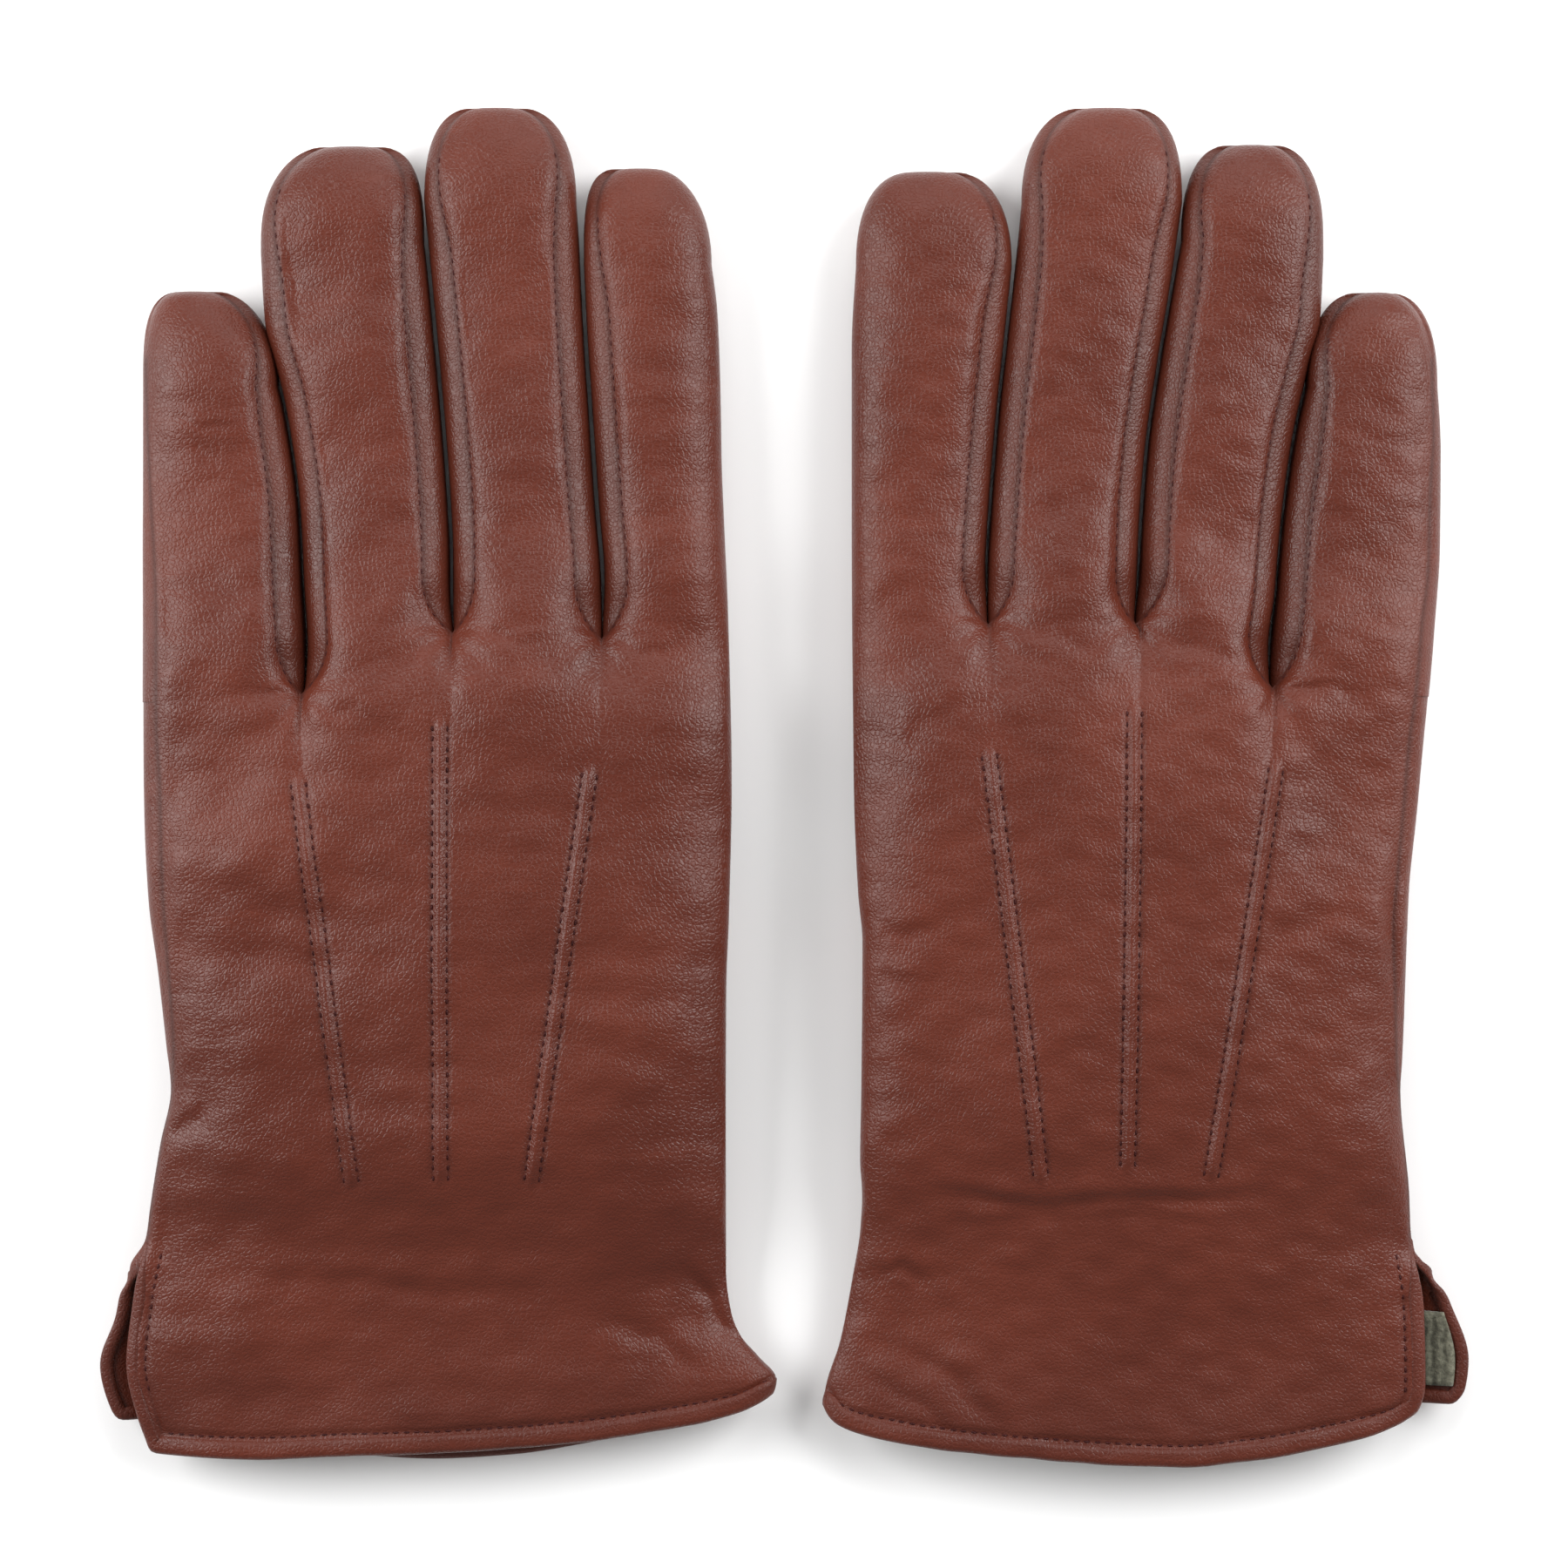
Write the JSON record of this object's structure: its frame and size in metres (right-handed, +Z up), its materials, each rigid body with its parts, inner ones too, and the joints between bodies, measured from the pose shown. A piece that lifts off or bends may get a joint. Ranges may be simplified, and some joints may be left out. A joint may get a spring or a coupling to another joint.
{
  "type": "leather gloves",
  "caption": "Pair of lined leather dress gloves lying flat, backs up, with thumbs folded under, stitched points on the back and a side vent at the cuff.",
  "frame": {"origin": "on the table plane, under the centre of the pair's bounding box", "axes": "+Z up out of the table through the backs of the gloves, +Y from the cuffs to the fingertips, +X from the left-hand glove to the right-hand glove"},
  "size_m": [0.2552, 0.25, 0.0228],
  "materials": {
    "leather": "fine-grained satin nappa, warm reddish brown",
    "lining": "soft brushed knit, grey green",
    "thread": "fine dark maroon sewing thread"
  },
  "bodies": {
    "left_hand": {"left_back_panel": "leather", "left_palm_panel": "leather", "left_back_hem": "leather", "left_palm_hem": "leather", "left_hand_lining": "lining", "left_crotch_gusset": "leather", "left_points": "leather", "left_stitching": "thread"},
    "left_index": {"left_index_back": "leather", "left_index_palm": "leather", "left_index_fourchette": "leather", "left_index_lining": "lining"},
    "left_middle": {"left_middle_back": "leather", "left_middle_palm": "leather", "left_middle_fourchette_in": "leather", "left_middle_fourchette_out": "leather", "left_middle_lining": "lining"},
    "left_ring": {"left_ring_back": "leather", "left_ring_palm": "leather", "left_ring_fourchette_in": "leather", "left_ring_fourchette_out": "leather", "left_ring_lining": "lining"},
    "left_little": {"left_little_back": "leather", "left_little_palm": "leather", "left_little_fourchette": "leather", "left_little_lining": "lining"},
    "left_thumb": {"left_thumb_leather": "leather", "left_thumb_lining": "lining"},
    "right_hand": {"right_back_panel": "leather", "right_palm_panel": "leather", "right_back_hem": "leather", "right_palm_hem": "leather", "right_hand_lining": "lining", "right_crotch_gusset": "leather", "right_points": "leather", "right_stitching": "thread"},
    "right_index": {"right_index_back": "leather", "right_index_palm": "leather", "right_index_fourchette": "leather", "right_index_lining": "lining"},
    "right_middle": {"right_middle_back": "leather", "right_middle_palm": "leather", "right_middle_fourchette_in": "leather", "right_middle_fourchette_out": "leather", "right_middle_lining": "lining"},
    "right_ring": {"right_ring_back": "leather", "right_ring_palm": "leather", "right_ring_fourchette_in": "leather", "right_ring_fourchette_out": "leather", "right_ring_lining": "lining"},
    "right_little": {"right_little_back": "leather", "right_little_palm": "leather", "right_little_fourchette": "leather", "right_little_lining": "lining"},
    "right_thumb": {"right_thumb_leather": "leather", "right_thumb_lining": "lining"}
  },
  "joints": [
    {"name": "left_little_knuckle", "type": "hinge", "parent": "left_hand", "child": "left_little", "pos_m": [-0.10383, 0.02017, 0.00725], "axis": [-0.9973, -0.0732, 0], "range_deg": [-25, 70]},
    {"name": "left_ring_knuckle", "type": "hinge", "parent": "left_hand", "child": "left_ring", "pos_m": [-0.07619, 0.03424, 0.00725], "axis": [-0.9973, -0.0732, 0], "range_deg": [-25, 70]},
    {"name": "left_middle_knuckle", "type": "hinge", "parent": "left_hand", "child": "left_middle", "pos_m": [-0.04861, 0.03626, 0.00725], "axis": [-0.9973, -0.0732, 0], "range_deg": [-25, 70]},
    {"name": "left_index_knuckle", "type": "hinge", "parent": "left_hand", "child": "left_index", "pos_m": [-0.02268, 0.03816, 0.00725], "axis": [-0.9973, -0.0732, 0], "range_deg": [-25, 70]},
    {"name": "left_thumb_fold", "type": "hinge", "parent": "left_hand", "child": "left_thumb", "pos_m": [-0.0093, -0.042, 0.009], "axis": [0, -1, 0], "range_deg": [0, 70]},
    {"name": "right_glove_lift", "type": "slide", "parent": "left_hand", "child": "right_hand", "axis": [0, 0, 1], "range_m": [0, 0.12]},
    {"name": "right_little_knuckle", "type": "hinge", "parent": "right_hand", "child": "right_little", "pos_m": [0.10383, 0.02017, 0.00725], "axis": [-0.9973, 0.0732, 0], "range_deg": [-25, 70]},
    {"name": "right_ring_knuckle", "type": "hinge", "parent": "right_hand", "child": "right_ring", "pos_m": [0.07619, 0.03424, 0.00725], "axis": [-0.9973, 0.0732, 0], "range_deg": [-25, 70]},
    {"name": "right_middle_knuckle", "type": "hinge", "parent": "right_hand", "child": "right_middle", "pos_m": [0.04861, 0.03626, 0.00725], "axis": [-0.9973, 0.0732, 0], "range_deg": [-25, 70]},
    {"name": "right_index_knuckle", "type": "hinge", "parent": "right_hand", "child": "right_index", "pos_m": [0.02268, 0.03816, 0.00725], "axis": [-0.9973, 0.0732, 0], "range_deg": [-25, 70]},
    {"name": "right_thumb_fold", "type": "hinge", "parent": "right_hand", "child": "right_thumb", "pos_m": [0.0093, -0.042, 0.009], "axis": [0, 1, 0], "range_deg": [0, 70]}
  ]
}
